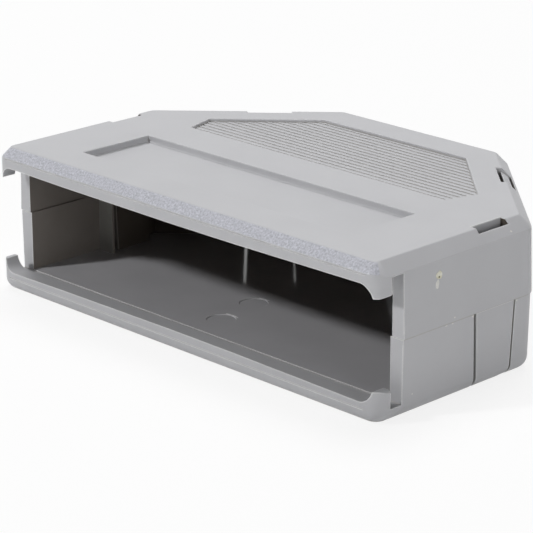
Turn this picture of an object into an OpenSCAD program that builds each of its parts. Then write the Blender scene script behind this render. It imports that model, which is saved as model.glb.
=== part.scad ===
// Two-piece snap-together hood for a ribbon-type cable connector.
// The lip face that takes the connector looks along -Y, the cable leaves along +Y, +Z is up,
// and the origin is at the middle of the bottom of the closed hood. All sizes are in mm.

/* [Overall] */
// Width over the side walls at the parting line
hood_w = 70; // [60:0.5:95]
// Depth from the lip face to the back wall
hood_d = 46.4; // [42:0.2:60]
// Height over both closed shells
hood_h = 19.8; // [18:0.2:26]
// How far each slanted corner reaches in from the side
cut_w = 20.4; // [16:0.2:24]
// How far each slanted corner reaches forward from the back
cut_d = 19.2; // [16:0.2:21]
// Lean of the upper shell's outer walls, degrees
draft = 1.8; // [0:0.1:2.5]
// Lean of the lower shell's outer walls, degrees
lower_draft = 1; // [0:0.1:2.5]

/* [Shells] */
// Wall thickness of the upper shell
upper_wall = 1.95; // [1.8:0.05:2.4]
// Wall thickness of the lower shell
lower_wall = 2.2; // [1.6:0.05:2.6]
// Thickness of the top and bottom plates
plate_t = 1.95; // [1.8:0.05:3]
// How far the lower shell's walls stand in from the upper shell's at the parting line
parting_step = 0.15; // [0:0.05:0.3]
// Width of the bevel along the sides and the back of the top face
edge_w = 1.5; // [0.8:0.1:1.7]
// Height of that bevel
edge_h = 1.6; // [0.8:0.1:2]
// Rounding along the edges of the bottom face
foot_r = 1.6; // [0.8:0.1:1.7]
// Plan radius of the two front corners of each lip
lip_corner_r = 2.4; // [2.2:0.1:3]
// Plan radius of the four rear corners
rear_corner_r = 2.6; // [2.4:0.1:6]

/* [Mouth] */
// Thickness of each lip, front to back
lip_t = 2.35; // [1.6:0.05:3]
// Width of the groove behind the lips that holds the connector's flange
groove_w = 1.85; // [1:0.05:2.5]
// Height of the flange groove over both shells
groove_h = 16.2; // [15.6:0.1:16.6]
// Height of the mouth between the lips, at its ends
mouth_h = 14.55; // [13:0.05:15.2]
// How far each lip bows into the mouth at mid width
lip_bow = 0.3; // [0.1:0.05:0.6]
// Height between the tips of the ears at each end of the mouth
ear_gap = 11.4; // [10:0.1:12.5]
// Width of each ear at its tip
ear_w = 1.35; // [1:0.05:2]
// Rounding of the outer corner of each ear's tip
ear_tip_r = 0.8; // [0.4:0.05:0.85]
// Radius that blends each ear into its lip
ear_r = 1.9; // [1:0.1:2.5]
// How far the bevel along the upper lip reaches back from the lip face
bevel_d = 1.25; // [0.8:0.05:2.2]
// How far that bevel reaches down the lip face
bevel_h = 1.3; // [0.8:0.1:1.8]
// Width of the fine line scored along each lip, under the bevel and over the rounding
line_w = 0.2; // [0.1:0.05:0.3]
// Depth of that line
line_d = 0.1; // [0.05:0.05:0.2]

/* [Label recess] */
// Width of the label recess in the top face
label_w = 48.2; // [40:0.2:50]
// Size of the label recess, front to back
label_d = 11.3; // [8:0.1:14]
// Front edge of the label recess, from the lip face
label_y = 6.3; // [5:0.1:8]
// Depth of the label recess
label_depth = 1; // [0.4:0.05:1.1]

/* [Grip panel] */
// Front edge of the ribbed grip panel, from the lip face
grip_y = 24.4; // [23:0.1:26]
// Width of the grip panel at its front edge
grip_front_w = 45.9; // [40:0.1:47]
// Width of the grip panel where it is widest
grip_w = 48.7; // [47.5:0.1:50]
// Land between the grip panel and the slanted corners
grip_land = 6; // [5:0.05:7]
// Land between the grip panel and the back wall
grip_back_land = 6.6; // [5:0.1:8]
// Distance from one grip rib to the next
rib_pitch = 0.985; // [0.8:0.005:1.6]
// Depth of the rib crests below the top face
rib_crest = 0.35; // [0.2:0.05:0.4]
// Depth of the rib valleys below the top face
rib_valley = 0.48; // [0.45:0.01:1]

/* [Snap latches] */
// Centre of the side latches, from the lip face
side_latch_y = 20.5; // [19.5:0.05:21]
// Centre of the rear latches, from the rear end of the slanted wall
rear_latch_s = 10.9; // [9:0.1:13]
// Width of each latch tongue at the parting line
tongue_w = 6.9; // [6:0.1:7.5]
// Width of each latch tongue at its root
tongue_root_w = 6; // [5.4:0.1:6.5]
// Slit at the front of each tongue
slit_w = 0.43; // [0.2:0.01:0.6]
// Slit at the rear of each tongue
slit_back_w = 0.24; // [0.2:0.01:0.6]
// Length of the notch at the foot of the rear slit
notch_l = 1.25; // [0.6:0.05:2]
// Height of that notch
notch_h = 0.45; // [0.4:0.05:0.6]
// Depth of that notch into the wall
notch_d = 1.4; // [1.2:0.1:1.8]
// Thickness of the arm behind each tongue
arm_t = 2; // [1.4:0.1:2.4]
// How much narrower than its tongue each arm is, at each side
arm_inset = 0.2; // [0.1:0.05:0.4]
// Gap between each arm and the wall of the upper shell
arm_clear = 0.25; // [0.15:0.05:0.5]
// How far each arm rises past the parting line
arm_rise = 5.2; // [4.6:0.1:6]
// Height of the catch ledge in the upper shell over the parting line
ledge_z = 3; // [2:0.1:3.4]
// Height of the flat on the tip of each side hook
hook_land = 0.5; // [0.3:0.1:1]
// Gap between each hook and its ledge, the skin and each end of its window
hook_clear = 0.2; // [0.1:0.05:0.25]
// Thickness of the nose that each rear hook shows in its window
nose_t = 1.2; // [0.8:0.05:1.3]
// Depth of that nose under the top face and its edge bevel
nose_drop = 0.3; // [0.2:0.05:0.6]
// Length of the side windows in the upper shell
side_window_l = 5.3; // [4.8:0.1:5.4]
// How far the side windows stand behind the middle of their tongues
side_window_shift = 0.75; // [0:0.05:0.8]
// Outer edge of the side windows, from the outside of the wall
side_skin = 1.4; // [1.2:0.05:1.5]
// Inner edge of the side windows, from the outside of the wall
side_window = 2.65; // [2.4:0.05:3]
// Length of the rear windows
rear_window_l = 6.1; // [5.6:0.1:6.4]
// Outer edge of the rear windows, from the outside of the wall
rear_skin = 0.65; // [0.55:0.05:0.8]
// Inner edge of the rear windows, from the outside of the wall
rear_window = 2.55; // [2.4:0.05:2.8]

/* [Tongue guides] */
// Thickness of the guide rib in front of each side tongue
guide_t = 0.5; // [0.4:0.05:1]
// How far the guide ribs stand in from the lower shell's wall
guide_d = 2.7; // [2:0.1:3]
// Gap between each guide rib and the slit beside it
guide_gap = 0.1; // [0.05:0.05:0.3]

/* [Cable exit] */
// Radius of the cable hole in the back wall
cable_r = 5; // [3.5:0.1:6]
// Radius of the grip ribs around the cable
saddle_r = 4.6; // [3:0.1:5.5]
// Width of the block of grip ribs
saddle_w = 17; // [14:0.5:20]
// Thickness of each grip rib and of the webs that join them
saddle_t = 1.4; // [1:0.1:2]
// Distance from one grip rib to the next
saddle_pitch = 3.2; // [2.6:0.1:4]
// Number of grip ribs in each shell
saddle_n = 2; // [1:1:3]
// Distance from the outside of the back wall to the rear face of the last grip rib
saddle_back = 4; // [3:0.1:5]

/* [Ejector marks] */
// Centre of the front ejector mark in the lower shell, from the lip face
mark_y = 8.8; // [7:0.1:10]
// How far the front ejector mark stands to the left of the middle
mark_x = 0.75; // [0:0.05:2]
// Distance from the front ejector mark back to the second one
mark_pitch = 7.1; // [6.2:0.1:9]
// How far the second ejector mark stands to the left of the first
mark_shift = 1.4; // [0:0.05:3]
// Radius of the ejector marks
mark_r = 1.9; // [1:0.1:3]
// Depth of the ejector marks
mark_depth = 0.1; // [0.05:0.05:0.3]

/* [Hidden] */
$fn = 48;
eps = 0.02;
past = 1;
half_w = hood_w / 2;
half_h = hood_h / 2;
ceiling = half_h - plate_t;
cut_len = sqrt(cut_w * cut_w + cut_d * cut_d);
cut_nx = cut_d / cut_len;
cut_ny = cut_w / cut_len;
cut_k = cut_nx * half_w + cut_ny * (hood_d - cut_d);
cut_angle = atan2(cut_ny, cut_nx);
arm_face = upper_wall + arm_clear;
hook_z = ledge_z + hook_clear;
grip_back = hood_d - grip_back_land;
grip_side_y = slant_y(grip_w / 2, grip_land);
grip_back_x = slant_x(grip_back, grip_land);
rib_n = ceil((grip_back - grip_y) / rib_pitch);
saddle_y = hood_d - saddle_back - saddle_t - (saddle_n - 1) * saddle_pitch;
bow_r = (pow(half_w - ear_w - ear_r, 2) + lip_bow * lip_bow) / (2 * lip_bow);
plastic = [0.73, 0.73, 0.75];

// Y of the slanted wall at x, and x of it at y, moved in by an inset
function slant_y(x, inset) = (cut_k - inset - cut_nx * x) / cut_ny;
function slant_x(y, inset) = (cut_k - inset - cut_ny * y) / cut_nx;

// Inset of the outer walls at the height z over or under the parting line: draft and edge bevel
function upper_inset(z) = z * tan(draft) + edge_w * max(0, z - half_h + edge_h) / edge_h;
function lower_inset(z) = parting_step + z * tan(lower_draft) + lower_lip(z);

// How far the bevel of the upper lip or the rounding of the lower lip has taken the lip face back at z
function upper_lip(z) = bevel_d * max(0, z - half_h + bevel_h) / bevel_h;
function lower_lip(z) = foot_r - sqrt(pow(foot_r, 2) - pow(max(0, z - half_h + foot_r), 2));

// One rounded corner of a slice, as a cone that narrows into the form and leaves only its rim outside
module corner(x, y, r, z) {
    translate([x, y, z]) mirror([0, 0, z > 0 ? 1 : 0]) cylinder(r1 = r, r2 = r / 2, h = 0.7, $fn = 44);
}

// The four rear corners of a slice whose walls stand in by an inset
module rear_corners(z, inset) {
    side_x = half_w - rear_corner_r;
    back_y = hood_d - rear_corner_r;
    for (side = [-1, 1]) {
        corner(side * side_x, slant_y(side_x, rear_corner_r), rear_corner_r - inset, z);
        corner(side * slant_x(back_y, rear_corner_r), back_y, rear_corner_r - inset, z);
    }
}

// The two lip corners of a slice whose walls stand in by an inset and whose lip face stands back
module lip_corners(z, inset, back) {
    r = lip_corner_r - inset;
    for (side = [-1, 1]) corner(side * (half_w - lip_corner_r), back + r, r, z);
}

// Outer form of the upper shell, from the parting plane at z = 0 to the outer face
module upper_form() {
    hull() {
        for (z = [0, half_h - edge_h, half_h]) rear_corners(z, upper_inset(z));
        for (z = [0, half_h - edge_h, half_h - bevel_h, half_h]) lip_corners(z, upper_inset(z), upper_lip(z));
    }
}

// Outer form of the lower shell, drawn the same way up
module lower_form() {
    hull() for (z = concat([0], [for (a = [0, 15, 30, 45, 60, 75, 90]) half_h - foot_r + foot_r * sin(a)])) {
        rear_corners(z, lower_inset(z));
        lip_corners(z, lower_inset(z), lower_lip(z));
    }
}

// Hollow behind the mouth
module cavity(wall) {
    side_x = half_w - wall;
    back_y = hood_d - wall;
    back_x = slant_x(back_y, wall);
    side_y = slant_y(side_x, wall);
    translate([0, 0, -past]) linear_extrude(ceiling + past)
        polygon([[side_x, lip_t], [side_x, side_y], [back_x, back_y],
                 [-back_x, back_y], [-side_x, side_y], [-side_x, lip_t]]);
}

// Opening through the lip plate, with a round-tipped ear left at each end and a lip that bows into the mouth
module mouth() {
    lip_z = mouth_h / 2;
    inner_x = half_w - ear_w;
    tip_x = half_w - 0.1 - ear_tip_r;
    translate([0, lip_t + eps, 0]) rotate([90, 0, 0]) linear_extrude(lip_t + past) {
        translate([-hood_w, -past]) square([2 * hood_w, past + ear_gap / 2]);
        for (side = [0, 1]) mirror([side, 0]) translate([tip_x, ear_gap / 2]) difference() {
            translate([0, -eps]) square(ear_tip_r + past);
            translate([-past, ear_tip_r]) square(ear_tip_r + 2 * past);
            translate([0, ear_tip_r]) circle(ear_tip_r);
        }
        difference() {
            union() {
                translate([-inner_x, 0]) square([2 * inner_x, lip_z - ear_r]);
                translate([ear_r - inner_x, 0]) square([2 * (inner_x - ear_r), lip_z]);
                for (side = [-1, 1]) translate([side * (inner_x - ear_r), lip_z - ear_r]) circle(ear_r);
            }
            translate([0, lip_z - lip_bow + bow_r]) circle(bow_r, $fn = 720);
        }
    }
}

// Groove behind the lips, open at both sides for the ends of the connector's flange
module flange_groove() {
    translate([-hood_w, lip_t, -past]) cube([2 * hood_w, groove_w, past + groove_h / 2]);
}

// Half of the cable hole in the back wall
module cable_hole() {
    translate([0, hood_d + past, 0]) rotate([90, 0, 0]) cylinder(r = cable_r, h = past + plate_t + past);
}

// Ribs around the cable and the webs that join them to the back wall
module cable_saddle(wall) {
    difference() {
        union() {
            for (i = [0 : saddle_n - 1])
                translate([-saddle_w / 2, saddle_y + i * saddle_pitch, 0])
                    cube([saddle_w, saddle_t, ceiling + eps]);
            for (side = [-1, 1])
                translate([side * (saddle_w - saddle_t) / 2 - saddle_t / 2, saddle_y, 0])
                    cube([saddle_t, hood_d - wall - saddle_y + eps, ceiling + eps]);
        }
        translate([0, hood_d - wall, 0]) rotate([90, 0, 0]) cylinder(r = saddle_r, h = hood_d - saddle_y);
    }
}

// What both shells share, cut from the outer form given as a child
module shell(wall) {
    difference() {
        children();
        cavity(wall);
        flange_groove();
        mouth();
        cable_hole();
    }
    cable_saddle(wall);
}

// Put their children at the side latches and at the rear latches: x backwards along the wall, y inwards
module at_side_latches() {
    for (side = [0, 1]) mirror([side, 0, 0])
        translate([half_w, side_latch_y, 0]) rotate([0, 0, 90]) children();
}

module at_rear_latches() {
    along = rear_latch_s / cut_len;
    for (side = [0, 1]) mirror([side, 0, 0])
        translate([half_w - cut_w * (1 - along), hood_d - cut_d * along, 0])
            rotate([0, 0, 90 + cut_angle]) children();
}

// Window in the top plate and the pocket under it that leaves the catch ledge
module latch_window(length, outer, inner) {
    translate([-length / 2, outer, ceiling - eps]) cube([length, inner - outer, plate_t + past]);
    translate([-length / 2, outer, ledge_z]) cube([length, upper_wall - outer + eps, ceiling - ledge_z]);
}

// Half width of a tongue at the depth z under the parting line
function tongue_half(z) = (tongue_w - (tongue_w - tongue_root_w) * z / half_h) / 2;

// One slit on the rear side of a tongue
module slit(width) {
    depth = lower_wall + slit_w;
    top = -past;
    root = half_h + past;
    translate([0, depth, 0]) rotate([90, 0, 0]) linear_extrude(depth + past)
        polygon([[tongue_half(top), top], [tongue_half(top) + width, top],
                 [tongue_half(root) + width, root], [tongue_half(root), root]]);
}

// The two slits that free a tongue from its wall, and the notch at the foot of the rear one
module latch_slits() {
    slit(slit_back_w);
    mirror([1, 0, 0]) slit(slit_w);
    translate([tongue_half(half_h) - notch_l, -past, half_h - notch_h])
        cube([notch_l + slit_back_w / 2, past + notch_d, notch_h + past]);
}

// Arm behind a tongue, up to the parting line
module latch_arm() {
    root = ceiling + plate_t / 2;
    back = arm_face + arm_t;
    top_x = tongue_half(0) - arm_inset;
    root_x = tongue_half(root) - arm_inset;
    translate([0, back, 0]) rotate([90, 0, 0]) linear_extrude(back - lower_wall / 2)
        polygon([[-top_x, 0], [top_x, 0], [root_x, root], [-root_x, root]]);
}

// Guide rib on the inside of the wall, in front of a tongue
module tongue_guide() {
    translate([-tongue_half(0) - slit_w - guide_gap - guide_t, lower_wall - eps, 0])
        cube([guide_t, guide_d + eps, ceiling + eps]);
}

// Part of an arm over the parting line, with its hook given as an outline: y inwards, z downwards
module latch_hook(length, outline) {
    width = length - 2 * hook_clear;
    translate([-width / 2, arm_face, -arm_rise]) cube([width, arm_t, arm_rise + past]);
    translate([-width / 2, 0, 0]) rotate([90, 0, 90]) linear_extrude(width) polygon(outline);
}

// Side hook with a sloping lead-in, which snaps over its ledge in the upper shell
module side_hook() {
    tip = side_skin + hook_clear;
    latch_hook(side_window_l, [[arm_face + arm_t / 2, -hook_z], [tip, -hook_z], [tip, -hook_z - hook_land],
                               [arm_face, -arm_rise], [arm_face + arm_t / 2, -arm_rise]]);
}

// Rear hook with a nose that rises into its window and slopes down with the edge bevel
module rear_hook() {
    tip = rear_skin + hook_clear;
    nose_z = half_h - nose_drop;
    tip_z = nose_z - edge_h * (1 - (tip - upper_inset(half_h - edge_h)) / edge_w);
    latch_hook(rear_window_l, [[arm_face + arm_t / 2, -hook_z], [tip, -hook_z], [tip, -tip_z],
                               [tip + nose_t, -nose_z], [tip + nose_t, -arm_rise],
                               [arm_face + arm_t / 2, -arm_rise]]);
}

// Fine line scored along a lip face at the height z
module lip_line(z) {
    rotate([90, 0, 90]) linear_extrude(2 * (half_w - lip_corner_r), center = true)
        polygon([[-past, z], [0, z - line_w / 2], [line_d, z], [0, z + line_w / 2]]);
}

// Recess for a label
module label_recess() {
    translate([-label_w / 2, label_y, half_h - label_depth]) cube([label_w, label_d, label_depth + past]);
}

// Six-sided grip panel: each rib rises at its front edge and slopes down towards the back
module grip_panel() {
    intersection() {
        linear_extrude(hood_h)
            polygon([[grip_front_w / 2, grip_y], [grip_w / 2, grip_side_y], [grip_back_x, grip_back],
                     [-grip_back_x, grip_back], [-grip_w / 2, grip_side_y], [-grip_front_w / 2, grip_y]]);
        rotate([90, 0, 90]) linear_extrude(hood_w, center = true)
            polygon(concat([[grip_y + rib_n * rib_pitch, half_h + past], [grip_y, half_h + past]],
                           [for (i = [0 : rib_n - 1], end = [0, 1])
                               [grip_y + (i + end) * rib_pitch, half_h - (end == 0 ? rib_crest : rib_valley)]]));
    }
}

// Shallow round marks of two ejector pins in the floor
module ejector_marks() {
    for (i = [0, 1])
        translate([-mark_x - i * mark_shift, mark_y + i * mark_pitch, ceiling - eps])
            cylinder(r = mark_r, h = mark_depth + eps);
}

module upper_shell() {
    color(plastic) translate([0, -hood_d / 2, half_h]) difference() {
        shell(upper_wall) upper_form();
        at_side_latches() translate([side_window_shift, 0, 0]) latch_window(side_window_l, side_skin, side_window);
        at_rear_latches() latch_window(rear_window_l, rear_skin, rear_window);
        lip_line(half_h - bevel_h - line_w);
        label_recess();
        grip_panel();
    }
}

module lower_shell() {
    color(plastic) translate([0, -hood_d / 2, half_h]) mirror([0, 0, 1]) {
        difference() {
            shell(lower_wall) lower_form();
            at_side_latches() latch_slits();
            at_rear_latches() latch_slits();
            lip_line(half_h - foot_r - line_w);
            ejector_marks();
        }
        at_side_latches() {
            latch_arm();
            tongue_guide();
            translate([side_window_shift, 0, 0]) side_hook();
        }
        at_rear_latches() {
            latch_arm();
            rear_hook();
        }
    }
}

upper_shell();
lower_shell();
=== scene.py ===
import math

import bmesh
import bpy
import mathutils
import mathutils.bvhtree
import numpy as np
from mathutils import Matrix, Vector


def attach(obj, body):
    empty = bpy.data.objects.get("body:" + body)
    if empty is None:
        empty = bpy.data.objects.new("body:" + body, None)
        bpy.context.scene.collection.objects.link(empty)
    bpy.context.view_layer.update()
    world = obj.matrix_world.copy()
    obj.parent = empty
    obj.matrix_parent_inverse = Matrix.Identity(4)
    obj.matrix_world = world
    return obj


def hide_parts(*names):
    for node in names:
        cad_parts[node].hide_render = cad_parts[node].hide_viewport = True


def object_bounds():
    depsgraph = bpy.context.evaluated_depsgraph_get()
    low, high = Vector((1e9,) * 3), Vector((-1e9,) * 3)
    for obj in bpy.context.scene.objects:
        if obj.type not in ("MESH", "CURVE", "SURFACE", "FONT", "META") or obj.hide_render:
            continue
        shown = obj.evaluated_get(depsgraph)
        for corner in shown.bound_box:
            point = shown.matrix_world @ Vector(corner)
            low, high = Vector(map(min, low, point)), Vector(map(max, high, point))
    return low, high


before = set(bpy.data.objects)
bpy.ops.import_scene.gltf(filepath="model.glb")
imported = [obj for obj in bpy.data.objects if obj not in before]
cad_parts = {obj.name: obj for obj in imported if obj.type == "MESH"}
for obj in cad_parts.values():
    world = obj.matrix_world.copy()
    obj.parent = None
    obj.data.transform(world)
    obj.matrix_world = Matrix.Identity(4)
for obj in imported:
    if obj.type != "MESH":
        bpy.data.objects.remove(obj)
cad_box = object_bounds()
scene = bpy.context.scene
scene.view_settings.view_transform = "Standard"


# Upper and lower shell
# Both are moulded from light grey plastic, satin outside, sparkling on the upper lip's bevel, where the speckled
# colour is painted glints, and smooth inside, where darker colours are painted shade. Open edges are pale, a painted
# highlight that also stands for wear, and painted shade sits where the shells meet and in enclosed corners.
# The lower shell's tongues hook over ledges in the upper shell, and nothing else holds the pair.
OUTLINE_SOFTENING = 0.00032
RIM_SOFTENING = 0.00015
PARTING_SOFTENING = 0.00010
EDGE_SHARE = 0.3
EDGE_SLACK = 0.00001
EDGE_LEAST = 0.00002
CRISP = math.radians(40)
RUN_ON = math.cos(math.radians(40))
SHARP = math.radians(29)
SOFT_TURN = math.radians(50)
FLAT_TURN = math.radians(0.5)
MERGE_DISTANCE = 0.000004
EDGE_SEGMENTS = 2
FLAT_FACE_WEIGHT = 100
# lengths in metres: heights are taken from the table, and places from front to back from the lips' front face
LIP_FACE_Y = float(cad_box[0][1])
TOP_Z = float(cad_box[1][2])
PARTING_Z = TOP_Z / 2
PLATE = 0.00195
WALL = 0.00195
MOUTH = 0.0042
OUTLINE_BAND = 0.0022
GRIP_FRONT = 0.0240
GRIP_DEPTH = 0.0008
SLANT_NORMAL = (0.6853, 0.7282)
SLANT_REACH = 0.04379
BEVEL_BACK = 0.0014
BEVEL_DOWN = 0.0014
BEVEL_TILT = 0.4
# the painted shade on the inner walls turns deeper behind DEEP, and is lighter on the guide rib's front at
# GUIDE_PLACE
DEEP = 0.0200
GUIDE_PLACE = (0.0140, 0.0166)
FACES_FRONT = -0.9
FINISH_SLACK = 0.0001
FLOOR_MARKS = 0.0005
CORNER_BAND = 0.0006
SEAM_BAND = 0.0004
SEAM_CLEAN = 0.0007
SIDE_TONGUE = (0.0166, 0.0243)
LABEL_HALF = 0.0241
LABEL_FRONT = 0.0063
LABEL_REAR = 0.0176
LABEL_DEPTH = 0.0010
LABEL_MARGIN = 0.0004
LABEL_SOFTENING = 0.0003
# INNER_WALL, DEEP_WALL and GUIDE are painted shade, SEAM is painted shade where the shells meet, and EDGE is pale, a
# painted highlight that also stands for wear
OUTSIDE, FLOOR, INNER_WALL, DEEP_WALL, GUIDE, LIP_BEVEL, SEAM, EDGE = range(8)


def note_room(face, room):
    """For each edge of a face, lower its room to the smallest distance of a corner of the face that lies beside it,
    or of an edge that its own corners lie beside, apart from the two edges next to it. A corner's place along an edge
    and its distance from the edge's line come from two products with the edge's direction."""
    corners = np.array([loop.vert.co for loop in face.loops])
    along = np.roll(corners, -1, axis=0) - corners
    length = np.linalg.norm(along, axis=1)
    along = along / length[:, None]
    offset = corners[None, :, :] - corners[:, None, :]
    place = np.einsum("ijk,ik->ij", offset, along)
    away = np.linalg.norm(offset - place[:, :, None] * along[:, None, :], axis=2)
    beside = (place > -EDGE_SLACK) & (place < length[:, None] + EDGE_SLACK)
    own = np.arange(len(corners))
    beside[own, own] = False
    beside[own, (own + 1) % len(corners)] = False
    away = np.where(beside, away, np.inf)
    own_corners = np.minimum(away, np.roll(away, -1, axis=1))
    own_corners[own, own] = np.inf
    own_corners[(own + 1) % len(corners), own] = np.inf
    own_corners[own - 1, own] = np.inf
    nearest = np.minimum(away.min(axis=1), own_corners.min(axis=0))
    for loop, space in zip(face.loops, nearest):
        room[loop.edge.index] = min(room[loop.edge.index], space)


def even_out(shape, crisp, width):
    """Where two crisp edges run on from each other in nearly one line, give both the smaller width, and repeat this
    until nothing changes, so that each rim is softened by one width."""
    pairs = []
    for corner in shape.verts:
        rims = [edge for edge in corner.link_edges if crisp[edge.index]]
        ways = [(edge.other_vert(corner).co - corner.co).normalized() for edge in rims]
        for first in range(len(rims)):
            for second in range(first):
                if ways[first].dot(ways[second]) < -RUN_ON:
                    pairs.append((rims[first].index, rims[second].index))
    pairs = np.array(pairs)
    before = None
    while before is None or not np.array_equal(before, width):
        before = width.copy()
        smaller = np.minimum(width[pairs[:, 0]], width[pairs[:, 1]])
        np.minimum.at(width, pairs[:, 0], smaller)
        np.minimum.at(width, pairs[:, 1], smaller)


def slant_of(point):
    """How far a point lies towards the slanted rear corners, along the slant's normal."""
    return SLANT_NORMAL[0] * abs(point.x) + SLANT_NORMAL[1] * (point.y - LIP_FACE_Y)


def on_outline(point):
    """Whether a point lies in the bevelled band round the top."""
    near_side = abs(point.x) > cad_box[1][0] - OUTLINE_BAND or slant_of(point) > SLANT_REACH - OUTLINE_BAND
    near_end = point.y < cad_box[0][1] + OUTLINE_BAND or point.y > cad_box[1][1] - OUTLINE_BAND
    return point.z > TOP_Z - OUTLINE_BAND and (near_side or near_end)


def on_label(point):
    """Whether a point lies in the label's recess or on its rim."""
    back = point.y - LIP_FACE_Y
    return (abs(point.x) < LABEL_HALF + LABEL_MARGIN and point.z > TOP_Z - LABEL_DEPTH - FINISH_SLACK
            and LABEL_FRONT - LABEL_MARGIN < back < LABEL_REAR + LABEL_MARGIN)


def on_label_floor(edge):
    """Whether an edge runs round the floor of the label's recess."""
    return all(on_label(corner.co) and corner.co.z < TOP_Z - LABEL_DEPTH + FINISH_SLACK for corner in edge.verts)


def behind_wall(point):
    """Whether a point lies on or within the inner faces of the side and slanted walls."""
    return (abs(point.x) < cad_box[1][0] - WALL + FINISH_SLACK
            and slant_of(point) < SLANT_REACH - WALL + FINISH_SLACK)


def finish_of(middle, normal):
    """Which finish a face has, from its middle and its normal. The finishes of the inner walls, of the guide rib's
    front and of the walls deep inside are painted shade.
    """
    back = middle.y - LIP_FACE_Y
    if middle.z > TOP_Z - BEVEL_DOWN and back < BEVEL_BACK and min(-normal.y, normal.z) > BEVEL_TILT:
        return LIP_BEVEL
    hidden = (PLATE - 2 * FINISH_SLACK < middle.z < TOP_Z - PLATE + FINISH_SLACK and back > MOUTH + FINISH_SLACK
              and middle.y < cad_box[1][1] - WALL + FINISH_SLACK and behind_wall(middle))
    if not hidden:
        return OUTSIDE
    if middle.z < PLATE + FLOOR_MARKS:
        return FLOOR
    if GUIDE_PLACE[0] < back < GUIDE_PLACE[1] and normal.y < FACES_FRONT:
        return GUIDE
    return DEEP_WALL if back > DEEP else INNER_WALL


def edge_finish(middle, normal):
    """The finish of a softened edge: pale, a painted highlight that also stands for wear, but not on the inner walls,
    on the grip, round the label or round the top's outline. Where the shells meet it is painted shade, and only the
    tops of the side tongues are pale there."""
    back = middle.y - LIP_FACE_Y
    on_grip = back > GRIP_FRONT and middle.z > TOP_Z - GRIP_DEPTH
    if on_outline(middle) or on_grip or on_label(middle):
        return OUTSIDE
    inside = finish_of(middle, normal)
    if inside in (INNER_WALL, DEEP_WALL, GUIDE):
        return inside
    on_tongue = SIDE_TONGUE[0] < back < SIDE_TONGUE[1] and normal.z > 0
    on_seam = abs(middle.z - PARTING_Z) < SEAM_BAND and back > MOUTH + FINISH_SLACK
    return SEAM if on_seam and not on_tongue else EDGE


def softening_of(edge):
    """The width that an edge is softened by, where its faces leave room: wide round the top's outline, round the
    label's floor and at the outer corners of the walls' front ends, narrow where the shells meet on the outside, and
    none where they meet on the inside."""
    first, second = (corner.co for corner in edge.verts)
    if on_outline(first) and on_outline(second):
        return OUTLINE_SOFTENING
    if all(abs(corner.y - LIP_FACE_Y - MOUTH) < CORNER_BAND / 2 and abs(corner.x) > cad_box[1][0] - CORNER_BAND
           for corner in (first, second)):
        return OUTLINE_SOFTENING
    if max(abs(first.z - PARTING_Z), abs(second.z - PARTING_Z)) < SEAM_BAND:
        return 0.0 if behind_wall(first) and behind_wall(second) else PARTING_SOFTENING
    return LABEL_SOFTENING if on_label_floor(edge) else RIM_SOFTENING


def moulded_copy(name, finishes):
    """A copy of one shell's solid: triangles joined, flat faces merged, faces sorted by finish, and outward edges and
    those round the label's floor softened by their width or by a share of the narrower face beside them, whichever
    is less."""
    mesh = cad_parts[name].data.copy()
    mesh.name = name + "_moulded"
    mesh.materials.clear()
    for finish in finishes:
        mesh.materials.append(finish)
    shape = bmesh.new()
    shape.from_mesh(mesh)
    bmesh.ops.remove_doubles(shape, verts=shape.verts, dist=MERGE_DISTANCE)
    bmesh.ops.dissolve_degenerate(shape, edges=shape.edges, dist=MERGE_DISTANCE)
    bmesh.ops.dissolve_limit(shape, angle_limit=FLAT_TURN, verts=shape.verts, edges=shape.edges)
    shape.edges.index_update()
    crisp = np.array([edge.calc_face_angle() > CRISP and (edge.is_convex or on_label_floor(edge))
                      for edge in shape.edges])
    room = np.full(len(shape.edges), np.inf)
    for face in shape.faces:
        note_room(face, room)
    wanted = np.array([softening_of(edge) for edge in shape.edges])
    width = np.where(crisp, np.minimum(wanted, EDGE_SHARE * room), 0.0)
    even_out(shape, crisp, width)
    softening = shape.edges.layers.float.new("bevel_weight_edge")
    for edge, value in zip(shape.edges, np.where(width > EDGE_LEAST, width, 0.0)):
        edge[softening] = value / OUTLINE_SOFTENING
    for face in shape.faces:
        face.smooth = True
        face.material_index = finish_of(face.calc_center_median(), face.normal)
    shape.to_mesh(mesh)
    shape.free()
    piece = bpy.data.objects.new(name + "_moulded", mesh)
    scene.collection.objects.link(piece)
    soften = piece.modifiers.new("soft_edges", "BEVEL")
    soften.width = OUTLINE_SOFTENING
    soften.segments = EDGE_SEGMENTS
    soften.limit_method = "WEIGHT"
    soften.use_clamp_overlap = False
    soften.material = EDGE
    solid = piece.evaluated_get(bpy.context.evaluated_depsgraph_get())
    piece.data = bpy.data.meshes.new_from_object(solid)
    piece.modifiers.clear()
    shape = bmesh.new()
    shape.from_mesh(piece.data)
    for edge in shape.edges:
        softened = any(face.material_index == EDGE for face in edge.link_faces)
        edge.smooth = edge.calc_face_angle() < (SOFT_TURN if softened else SHARP)
    for face in shape.faces:
        if face.material_index == EDGE:
            face.material_index = edge_finish(face.calc_center_median(), face.normal)
    shape.to_mesh(piece.data)
    shape.free()
    flatten = piece.modifiers.new("flat_faces", "WEIGHTED_NORMAL")
    flatten.keep_sharp = True
    flatten.weight = FLAT_FACE_WEIGHT
    return piece


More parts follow.
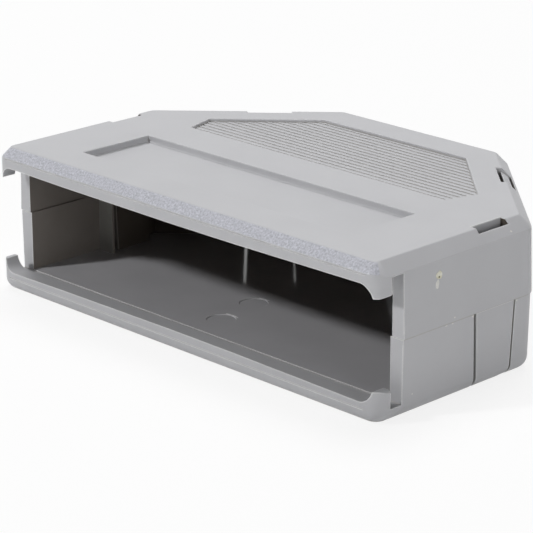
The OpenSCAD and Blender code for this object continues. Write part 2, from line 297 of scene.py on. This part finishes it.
# the pale edges are a painted highlight that also stands for wear, and the brown in enclosed corners is painted shade
WEAR_RADIUS = 0.00045
WEAR_STARTS = 0.96
WEAR_FULL = 0.80
RUBBED_HIGHLIGHT_GREY = (0.710, 0.710, 0.712)
CORNER_SHADE_REACH = 0.00060
CORNER_SHADE_STARTS = 0.70
CORNER_SHADE_FULL = 0.40
OPEN_FULL = 0.90
CORNER_SHADE_BROWN = (0.38, 0.365, 0.34)
MASK_SAMPLES = 8
MOTTLE_DETAIL = 4.0
GRAIN_DETAIL = 2.0
NOISE_LOW = 0.3
NOISE_HIGH = 0.7


def carried_over(nodes, links, value, start, full, low=0.0, high=1.0):
    """A value carried in a straight line from the range start to full onto the range low to high, and held at the
    ends of it."""
    carry = nodes.new("ShaderNodeMapRange")
    carry.inputs["From Min"].default_value = start
    carry.inputs["From Max"].default_value = full
    carry.inputs["To Min"].default_value = low
    carry.inputs["To Max"].default_value = high
    links.new(value, carry.inputs["Value"])
    return carry.outputs["Result"]


def laid_over(nodes, links, under, over, mask):
    """One colour laid over another where a mask is 1."""
    layer = nodes.new("ShaderNodeMix")
    layer.data_type = "RGBA"
    layer.inputs["B"].default_value = (*over, 1.0)
    links.new(mask, layer.inputs["Factor"])
    links.new(under, layer.inputs["A"])
    return layer.outputs["Result"]


def highlit_and_corner_shaded(nodes, links, place, tone, rubbed):
    """The tone with the rubbed colour, a painted highlight that also stands for wear, on outer edges, where a normal
    averaged over a small radius turns away from the face's own and the place lies open and off the parting line, and
    with painted shade in enclosed seams and corners."""
    # painted highlight on the outer edges, which also stands for wear
    rounded = nodes.new("ShaderNodeBevel")
    rounded.samples = MASK_SAMPLES
    rounded.inputs["Radius"].default_value = WEAR_RADIUS
    surface = nodes.new("ShaderNodeNewGeometry")
    turned = nodes.new("ShaderNodeVectorMath")
    turned.operation = "DOT_PRODUCT"
    links.new(rounded.outputs["Normal"], turned.inputs[0])
    links.new(surface.outputs["Normal"], turned.inputs[1])
    on_edge = carried_over(nodes, links, turned.outputs["Value"], WEAR_STARTS, WEAR_FULL)
    # painted shade in enclosed seams and corners, found by ambient occlusion
    openness = nodes.new("ShaderNodeAmbientOcclusion")
    openness.samples = MASK_SAMPLES
    openness.inputs["Distance"].default_value = CORNER_SHADE_REACH
    in_open = carried_over(nodes, links, openness.outputs["AO"], CORNER_SHADE_STARTS, OPEN_FULL)
    enclosed = carried_over(nodes, links, openness.outputs["AO"], CORNER_SHADE_STARTS, CORNER_SHADE_FULL)
    height = nodes.new("ShaderNodeSeparateXYZ")
    links.new(place, height.inputs["Vector"])
    at_seam = nodes.new("ShaderNodeMath")
    at_seam.operation = "COMPARE"
    at_seam.inputs[1].default_value = PARTING_Z
    at_seam.inputs[2].default_value = SEAM_CLEAN
    links.new(height.outputs["Z"], at_seam.inputs[0])
    off_seam = nodes.new("ShaderNodeMath")
    off_seam.operation = "SUBTRACT"
    off_seam.use_clamp = True
    links.new(in_open, off_seam.inputs[0])
    links.new(at_seam.outputs["Value"], off_seam.inputs[1])
    # the mask of the painted edge highlight, which also stands for wear
    wear = nodes.new("ShaderNodeMath")
    wear.operation = "MULTIPLY"
    links.new(on_edge, wear.inputs[0])
    links.new(off_seam.outputs["Value"], wear.inputs[1])
    worn = laid_over(nodes, links, tone, rubbed, wear.outputs["Value"])
    return laid_over(nodes, links, worn, CORNER_SHADE_BROWN, enclosed)


def grey_plastic(name, dark, light, tone_per_m, grain_per_m, grain_depth, rough_low, rough_high, shine=0.5,
                 rubbed=None):
    """Moulded plastic. One noise moves the colour between a dark and a light tone, and a fine noise gives the grain's
    bump and its roughness. Where a rubbed colour is given, it is laid over the outer edges as a painted highlight
    that also stands for wear, and painted shade is laid over enclosed corners."""
    material = bpy.data.materials.new(name)
    material.use_nodes = True
    nodes = material.node_tree.nodes
    links = material.node_tree.links
    shader = nodes["Principled BSDF"]
    place = nodes.new("ShaderNodeTexCoord").outputs["Object"]
    mottle = nodes.new("ShaderNodeTexNoise")
    mottle.inputs["Scale"].default_value = tone_per_m
    mottle.inputs["Detail"].default_value = MOTTLE_DETAIL
    links.new(place, mottle.inputs["Vector"])
    ramp = nodes.new("ShaderNodeValToRGB")
    ramp.color_ramp.elements[0].position = NOISE_LOW
    ramp.color_ramp.elements[0].color = (*dark, 1.0)
    ramp.color_ramp.elements[1].position = NOISE_HIGH
    ramp.color_ramp.elements[1].color = (*light, 1.0)
    links.new(mottle.outputs["Fac"], ramp.inputs["Fac"])
    tone = ramp.outputs["Color"]
    if rubbed is not None:
        tone = highlit_and_corner_shaded(nodes, links, place, tone, rubbed)
    links.new(tone, shader.inputs["Base Color"])
    shader.inputs["Specular IOR Level"].default_value = shine
    grain = nodes.new("ShaderNodeTexNoise")
    grain.inputs["Scale"].default_value = grain_per_m
    grain.inputs["Detail"].default_value = GRAIN_DETAIL
    links.new(place, grain.inputs["Vector"])
    roughness = carried_over(nodes, links, grain.outputs["Fac"], NOISE_LOW, NOISE_HIGH, rough_low, rough_high)
    links.new(roughness, shader.inputs["Roughness"])
    relief = nodes.new("ShaderNodeBump")
    relief.inputs["Distance"].default_value = grain_depth
    links.new(grain.outputs["Fac"], relief.inputs["Height"])
    links.new(relief.outputs["Normal"], shader.inputs["Normal"])
    return material


# the outside carries the painted edge highlight and the painted shade in enclosed corners
satin_outside = grey_plastic("satin_outside", (0.476, 0.477, 0.494), (0.500, 0.501, 0.518), 120.0, 7000.0,
                             0.000006, 0.46, 0.56, rubbed=RUBBED_HIGHLIGHT_GREY)
polished_floor = grey_plastic("polished_floor", (0.476, 0.474, 0.495), (0.508, 0.506, 0.527), 160.0, 2500.0,
                              0.0000005, 0.08, 0.12)
# painted shade on the inner walls
painted_shade_wall = grey_plastic("painted_shade_wall", (0.205, 0.184, 0.165), (0.230, 0.209, 0.190), 160.0, 2500.0,
                           0.000001, 0.50, 0.60, shine=0.15)
# deeper painted shade on the walls deep inside
painted_deep_shade_wall = grey_plastic("painted_deep_shade_wall", (0.095, 0.080, 0.066), (0.110, 0.095, 0.080), 160.0, 2500.0,
                         0.000001, 0.50, 0.60, shine=0.10)
# painted shade on the guide rib's front, lighter than on the walls beside it, where light falls on the rib
guide_front_painted_shade = grey_plastic("guide_front_painted_shade", (0.281, 0.275, 0.254), (0.305, 0.299, 0.278), 160.0, 2500.0,
                           0.000001, 0.50, 0.60, shine=0.15)
# the bevel's speckled colour is painted glints, laid over the grain's bump
sparkling_bevel = grey_plastic("sparkling_bevel", (0.325, 0.330, 0.365), (0.560, 0.567, 0.622), 4000.0, 5200.0,
                               0.000032, 0.25, 0.50)
# painted shade along the softened edges where the shells meet
seam_painted_shade = grey_plastic("seam_painted_shade", (0.385, 0.378, 0.365), (0.440, 0.433, 0.420), 900.0, 5000.0,
                         0.000004, 0.50, 0.60)
# pale edges: a painted highlight that also stands for wear
rubbed_and_highlit_edge = grey_plastic("rubbed_and_highlit_edge", (0.590, 0.590, 0.594), (0.650, 0.650, 0.652), 400.0, 5000.0,
                           0.000004, 0.40, 0.50)
for name in ("upper_shell", "lower_shell"):
    shell = moulded_copy(name, (satin_outside, polished_floor, painted_shade_wall, painted_deep_shade_wall, guide_front_painted_shade,
                                sparkling_bevel, seam_painted_shade, rubbed_and_highlit_edge))
    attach(shell, "root")
    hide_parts(name)


# Moulding marks
# Flecks that the moulding and use have left: a nick on the upper shell's right side with a dark pit that is painted
# shade, flash and flecks of paler plastic on that side of both shells, and bright arcs at the floor's ejector marks,
# which are painted highlights. Each is a shallow bump, sunk half into its wall.
FAR = 1.0
NICK_PROUD = 0.00004
PIT_PROUD = 0.00006
ARC_PROUD = 0.00004
FLECK_PROUD = 0.000015
RINGS = 7
SPOKES = 18
UNEVEN = (0.08, 0.06)
FIRST_TURN = 2.4
RIGHT_SIDE = np.array((1.0, 0.0, 0.0))
FLOOR_SIDE = np.array((0.0, 0.0, 1.0))
# each mark: one end (x, behind the lip face, height), the other end, half its width; a mark is run onto its wall
NICK = (((0.0, 0.01020, 0.01588), (0.0, 0.01034, 0.01686), 0.00056),)
NICK_PIT = (((0.0, 0.01016, 0.01604), (0.0, 0.01030, 0.01628), 0.00017),)
UPPER_FLECKS = (((0.0, 0.00985, 0.01474), (0.0, 0.01006, 0.01588), 0.00031),
                ((0.0, 0.02334, 0.01855), (0.0, 0.02366, 0.01855), 0.00014),
                ((0.0, 0.01282, 0.01046), (0.0, 0.01310, 0.01046), 0.00009))
LOWER_FLECKS = (((0.0, 0.01258, 0.00968), (0.0, 0.01292, 0.00972), 0.00008),
                ((0.0, 0.01146, 0.00968), (0.0, 0.01184, 0.00972), 0.00007),
                ((0.0, 0.00588, 0.00268), (0.0, 0.00610, 0.00268), 0.00010),
                ((0.0, 0.01618, 0.00966), (0.0, 0.01662, 0.00970), 0.00013),
                ((0.0, 0.02430, 0.00964), (0.0, 0.02454, 0.00968), 0.00014))
# the bright arcs on the floor's ejector marks are painted highlights
FLOOR_ARC_HIGHLIGHTS = (((-0.00190, 0.01070, 0.0), (-0.00090, 0.01090, 0.0), 0.00012),
              ((-0.00095, 0.01090, 0.0), (0.00045, 0.01072, 0.0), 0.00012),
              ((-0.00320, 0.01782, 0.0), (-0.00230, 0.01797, 0.0), 0.00014),
              ((-0.00235, 0.01797, 0.0), (-0.00130, 0.01797, 0.0), 0.00014))


def shell_surface(name):
    """A shell's faces, kept so that a line can be run onto them."""
    shape = bmesh.new()
    shape.from_mesh(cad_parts[name].data)
    tree = mathutils.bvhtree.BVHTree.FromBMesh(shape)
    shape.free()
    return tree


def fleck_shape(tree, side, ends, half_width, stand_out, turn):
    """A flattened ellipsoid that runs between two points of a wall, its outline made uneven by three and by five sine
    waves round it. Latitude and angle run over a grid, and a point is the centre plus cosine of the latitude along
    the wall and sine of it outwards."""
    starts = np.array(ends) * (1.0 - side) + np.array((0.0, LIP_FACE_Y, 0.0)) + FAR * side
    hits = [tree.ray_cast(start.tolist(), (-side).tolist()) for start in starts]
    first, second = np.array(hits[0][0]), np.array(hits[1][0])
    out = np.array(hits[0][1])
    centre = (first + second) / 2
    half_length = np.linalg.norm(second - first) / 2
    along = (second - first) / np.linalg.norm(second - first)
    aside = np.cross(out, along)
    latitude = np.linspace(-math.pi / 2, math.pi / 2, RINGS + 2)[1:-1, None]
    angle = np.linspace(0.0, 2 * math.pi, SPOKES, endpoint=False)[None, :]
    uneven = 1.0 + UNEVEN[0] * np.sin(3 * angle + turn) + UNEVEN[1] * np.sin(5 * angle - 2 * turn)
    lengthwise = half_length * np.cos(latitude) * np.cos(angle) * uneven
    crosswise = half_width * np.cos(latitude) * np.sin(angle) * uneven
    proud = stand_out * np.sin(latitude) * np.ones_like(angle)
    grid = centre + lengthwise[..., None] * along + crosswise[..., None] * aside + proud[..., None] * out
    points = np.vstack((grid.reshape(-1, 3), centre - stand_out * out, centre + stand_out * out))
    number = np.arange(RINGS * SPOKES).reshape(RINGS, SPOKES)
    onward = np.roll(number, -1, axis=1)
    sides = np.stack((number[:-1], onward[:-1], onward[1:], number[1:]), axis=2).reshape(-1, 4)
    under = np.stack((np.full(SPOKES, len(points) - 2), onward[0], number[0]), axis=1)
    over = np.stack((np.full(SPOKES, len(points) - 1), number[-1], onward[-1]), axis=1)
    return points, sides, np.vstack((under, over))


def flecks(name, shell_name, side, places, stand_out, finish):
    """All marks of one kind on one shell, as one piece."""
    tree = shell_surface(shell_name)
    points = np.zeros((0, 3))
    faces = []
    for number, (one_end, other_end, half_width) in enumerate(places):
        corners, sides, caps = fleck_shape(tree, side, (one_end, other_end), half_width, stand_out,
                                           FIRST_TURN + number)
        faces += (sides + len(points)).tolist() + (caps + len(points)).tolist()
        points = np.vstack((points, corners))
    mesh = bpy.data.meshes.new(name)
    mesh.from_pydata(points.tolist(), [], faces)
    shape = bmesh.new()
    shape.from_mesh(mesh)
    bmesh.ops.recalc_face_normals(shape, faces=shape.faces)
    for face in shape.faces:
        face.smooth = True
    shape.to_mesh(mesh)
    shape.free()
    mesh.materials.append(finish)
    piece = bpy.data.objects.new(name, mesh)
    scene.collection.objects.link(piece)
    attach(piece, "root")


pale_fleck = grey_plastic("pale_fleck", (0.64, 0.63, 0.60), (0.76, 0.75, 0.72), 3000.0, 5000.0, 0.000006, 0.40, 0.55)
yellowed_nick = grey_plastic("yellowed_nick", (0.56, 0.53, 0.34), (0.82, 0.81, 0.72), 2600.0, 5000.0, 0.000010, 0.40,
                             0.60)
# the pit's dark colour is painted shade, as of a hollow
painted_pit_shade = grey_plastic("painted_pit_shade", (0.05, 0.045, 0.02), (0.12, 0.105, 0.05), 6000.0, 8000.0, 0.000006, 0.50, 0.60)
# a painted highlight on the rims of the floor's ejector marks
painted_highlight_arc = grey_plastic("painted_highlight_arc", (0.72, 0.72, 0.73), (0.84, 0.84, 0.85), 3000.0, 5000.0, 0.000002, 0.15, 0.25)
flecks("side_nick", "upper_shell", RIGHT_SIDE, NICK, NICK_PROUD, yellowed_nick)
flecks("side_nick_pit", "upper_shell", RIGHT_SIDE, NICK_PIT, PIT_PROUD, painted_pit_shade)
flecks("upper_flecks", "upper_shell", RIGHT_SIDE, UPPER_FLECKS, FLECK_PROUD, pale_fleck)
flecks("lower_flecks", "lower_shell", RIGHT_SIDE, LOWER_FLECKS, FLECK_PROUD, pale_fleck)
flecks("floor_arc_highlights", "lower_shell", FLOOR_SIDE, FLOOR_ARC_HIGHLIGHTS, ARC_PROUD, painted_highlight_arc)


# Table
# The hood stands on a matt white table top. The camera and reflections see it almost white, with the hood's soft
# shadow kept.
TABLE_REACH = 3.0
TABLE_WHITE = (0.95, 0.95, 0.95, 1.0)
TABLE_ROUGHNESS = 0.9
TABLE_SHINE = 0.1
SHADOW_SHARE = 0.16


def seen_directly(nodes, links):
    """1 for what the camera sees, straight, in a reflection or through glass, and 0 for any other light."""
    path = nodes.new("ShaderNodeLightPath")
    straight = nodes.new("ShaderNodeMath")
    straight.operation = "MAXIMUM"
    links.new(path.outputs["Is Camera Ray"], straight.inputs[0])
    links.new(path.outputs["Is Glossy Ray"], straight.inputs[1])
    through = nodes.new("ShaderNodeMath")
    through.operation = "MAXIMUM"
    links.new(straight.outputs["Value"], through.inputs[0])
    links.new(path.outputs["Is Transmission Ray"], through.inputs[1])
    return through.outputs["Value"]


table_mesh = bpy.data.meshes.new("table")
table_mesh.from_pydata([(-TABLE_REACH, -TABLE_REACH, 0.0), (TABLE_REACH, -TABLE_REACH, 0.0),
                        (TABLE_REACH, TABLE_REACH, 0.0), (-TABLE_REACH, TABLE_REACH, 0.0)], [], [(0, 1, 2, 3)])
table = bpy.data.objects.new("table", table_mesh)
scene.collection.objects.link(table)
table_white = bpy.data.materials.new("matt_white_table")
table_white.use_nodes = True
nodes = table_white.node_tree.nodes
links = table_white.node_tree.links
board = nodes["Principled BSDF"]
board.inputs["Base Color"].default_value = TABLE_WHITE
board.inputs["Roughness"].default_value = TABLE_ROUGHNESS
board.inputs["Specular IOR Level"].default_value = TABLE_SHINE
glow = nodes.new("ShaderNodeEmission")
glow.inputs["Strength"].default_value = 1.0
share = nodes.new("ShaderNodeMath")
share.operation = "MULTIPLY"
share.inputs[1].default_value = 1.0 - SHADOW_SHARE
links.new(seen_directly(nodes, links), share.inputs[0])
blend = nodes.new("ShaderNodeMixShader")
links.new(share.outputs["Value"], blend.inputs["Fac"])
links.new(board.outputs["BSDF"], blend.inputs[1])
links.new(glow.outputs["Emission"], blend.inputs[2])
links.new(blend.outputs["Shader"], nodes["Material Output"].inputs["Surface"])
table_mesh.materials.append(table_white)


# Studio light
# A softbox overhead, a little behind and to the left, a small key lamp at the front left, a low one at the right, and
# a white surround that shows in the camera and in reflections but gives hardly any light. The table throws up the
# rest of the light on the walls.
KEY_LEFT_OF_FRONT = math.radians(27.3)
KEY_ELEVATION = math.radians(35.8)
KEY_DISTANCE = 1.2
KEY_SIZE = 0.10
KEY_POWER = 6.7
SIDE_RIGHT_OF_FRONT = math.radians(80)
SIDE_ELEVATION = math.radians(12)
SIDE_DISTANCE = 1.3
SIDE_SIZE = 0.5
SIDE_POWER = 4.1
OVERHEAD_RIGHT_OF_FRONT = math.radians(-141)
OVERHEAD_ELEVATION = math.radians(70.5)
OVERHEAD_DISTANCE = 1.3
OVERHEAD_SIZE = 0.7
OVERHEAD_POWER = 11.0
SURROUND_FILL = 0.02


def softbox(name, right_of_front, elevation, distance, size, power):
    """A square lamp at an angle and a distance from the hood, turned to face it."""
    place = mathutils.Vector((math.cos(elevation) * math.sin(right_of_front),
                              -math.cos(elevation) * math.cos(right_of_front),
                              math.sin(elevation))) * distance
    lamp = bpy.data.lights.new(name, "AREA")
    lamp.shape = "SQUARE"
    lamp.size = size
    lamp.energy = power
    holder = bpy.data.objects.new(name, lamp)
    holder.location = place
    holder.rotation_euler = (-place).to_track_quat("-Z", "Y").to_euler()
    scene.collection.objects.link(holder)


softbox("key_lamp", -KEY_LEFT_OF_FRONT, KEY_ELEVATION, KEY_DISTANCE, KEY_SIZE, KEY_POWER)
softbox("side_lamp", SIDE_RIGHT_OF_FRONT, SIDE_ELEVATION, SIDE_DISTANCE, SIDE_SIZE, SIDE_POWER)
softbox("overhead_lamp", OVERHEAD_RIGHT_OF_FRONT, OVERHEAD_ELEVATION, OVERHEAD_DISTANCE, OVERHEAD_SIZE,
        OVERHEAD_POWER)

world = bpy.data.worlds.new("studio")
world.use_nodes = True
nodes = world.node_tree.nodes
links = world.node_tree.links
surround = nodes["Background"]
surround.inputs["Color"].default_value = (1.0, 1.0, 1.0, 1.0)
level = nodes.new("ShaderNodeMath")
level.operation = "MAXIMUM"
level.inputs[1].default_value = SURROUND_FILL
links.new(seen_directly(nodes, links), level.inputs[0])
links.new(level.outputs["Value"], surround.inputs["Strength"])
scene.world = world


# Camera
# It stands in front of the hood, to its right and a little above, as fitted to the hood's edges in the photograph,
# with the lens and the shift of the image's middle that the fit gave.
AZIMUTH = math.radians(45.21)
ELEVATION = math.radians(18.48)
EYE = (0.21310, -0.21473, 0.11028)
FOCAL_PX = 2449.54
AXIS_PX = (287.85, 241.48)
IMAGE_PX = 533.0
SENSOR_MM = 36.0
NEAREST_SEEN = 0.01
camera_data = bpy.data.cameras.new("camera")
camera_data.sensor_width = SENSOR_MM
camera_data.lens = SENSOR_MM * FOCAL_PX / IMAGE_PX
camera_data.shift_x = (IMAGE_PX / 2 - AXIS_PX[0]) / IMAGE_PX
camera_data.shift_y = (AXIS_PX[1] - IMAGE_PX / 2) / IMAGE_PX
camera_data.clip_start = NEAREST_SEEN
camera = bpy.data.objects.new("camera", camera_data)
camera.location = EYE
camera.rotation_euler = (math.pi / 2 - ELEVATION, 0.0, AZIMUTH)
scene.collection.objects.link(camera)
scene.camera = camera
